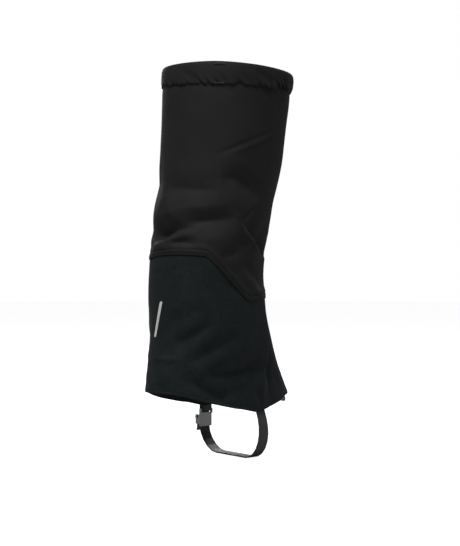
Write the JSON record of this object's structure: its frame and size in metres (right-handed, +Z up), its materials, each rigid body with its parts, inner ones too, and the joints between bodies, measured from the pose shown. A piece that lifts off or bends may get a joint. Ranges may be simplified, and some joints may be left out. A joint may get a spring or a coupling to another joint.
{
  "type": "hiking gaiter",
  "caption": "Knee-high hiking gaiter closed round a lower leg: two-tone cloth, elastic cuff, front flaps, instep strap with cam buckle.",
  "frame": {"origin": "middle of the upper face of the instep strap's flat run, where the boot sole stands on it", "axes": "+Z up the leg, -Y toward the toe, -X to the outer side of the right leg"},
  "size_m": [0.1569, 0.2079, 0.4688],
  "materials": {
    "upper_cloth": "matte tight weave",
    "lower_cloth": "matte heavy weave",
    "webbing": "flat woven webbing",
    "tape": "smooth binding tape",
    "hook_tape": "hook and loop tape",
    "elastic": "knitted elastic",
    "reflective": "retroreflective tape",
    "thread": "bartack thread",
    "steel": "satin"
  },
  "bodies": {
    "shell": {"upper_panel": "upper_cloth", "lower_panel": "lower_cloth", "hem_facing": "lower_cloth", "yoke_seam_tape": "tape", "cuff_tunnel": "upper_cloth", "cuff_elastic": "elastic", "reflective_strip": "reflective", "rim_bartack": "thread", "seam_bartack": "thread", "upper_binding": "tape", "lower_binding": "tape", "upper_hook_strip": "hook_tape", "lower_hook_strip": "hook_tape", "cuff_snap_stud": "steel", "instep_strap": "webbing", "lateral_anchor": "webbing", "medial_anchor": "webbing", "strap_keeper": "webbing", "buckle_frame": "steel", "buckle_pin": "steel", "lace_hook_tab": "webbing", "lace_hook_rivet": "steel"},
    "upper_flap": {"upper_flap": "upper_cloth", "upper_loop_strip": "hook_tape"},
    "lower_flap": {"lower_flap": "lower_cloth", "lower_loop_strip": "hook_tape"},
    "cuff_tab": {"cuff_tab": "webbing", "cuff_snap_socket": "steel", "cuff_snap_cap": "steel"},
    "buckle_lever": {"buckle_lever": "steel"},
    "lace_hook": {"lace_hook": "steel"}
  },
  "joints": [
    {"name": "upper_flap_hinge", "type": "hinge", "parent": "shell", "child": "upper_flap", "pos_m": [0.04097, -0.01752, 0.192], "axis": [-0.0021, -0.1621, 0.9868], "range_deg": [0, 110]},
    {"name": "lower_flap_hinge", "type": "hinge", "parent": "shell", "child": "lower_flap", "pos_m": [0.04205, -0.04435, 0.066], "axis": [-0.0084, 0.2093, 0.9778], "range_deg": [0, 110]},
    {"name": "cuff_tab_hinge", "type": "hinge", "parent": "shell", "child": "cuff_tab", "pos_m": [0.04346, -0.06114, 0.445], "axis": [-0.0025, -0.1367, 0.9906], "range_deg": [0, 120]},
    {"name": "buckle_lever_hinge", "type": "hinge", "parent": "shell", "child": "buckle_lever", "pos_m": [0.063, 0, 0.04], "axis": [0, -1, 0], "range_deg": [0, 110]},
    {"name": "lace_hook_swivel", "type": "hinge", "parent": "shell", "child": "lace_hook", "pos_m": [0, -0.07757, 0.07043], "axis": [0, -0.8915, 0.453], "range_deg": [-25, 25]}
  ]
}
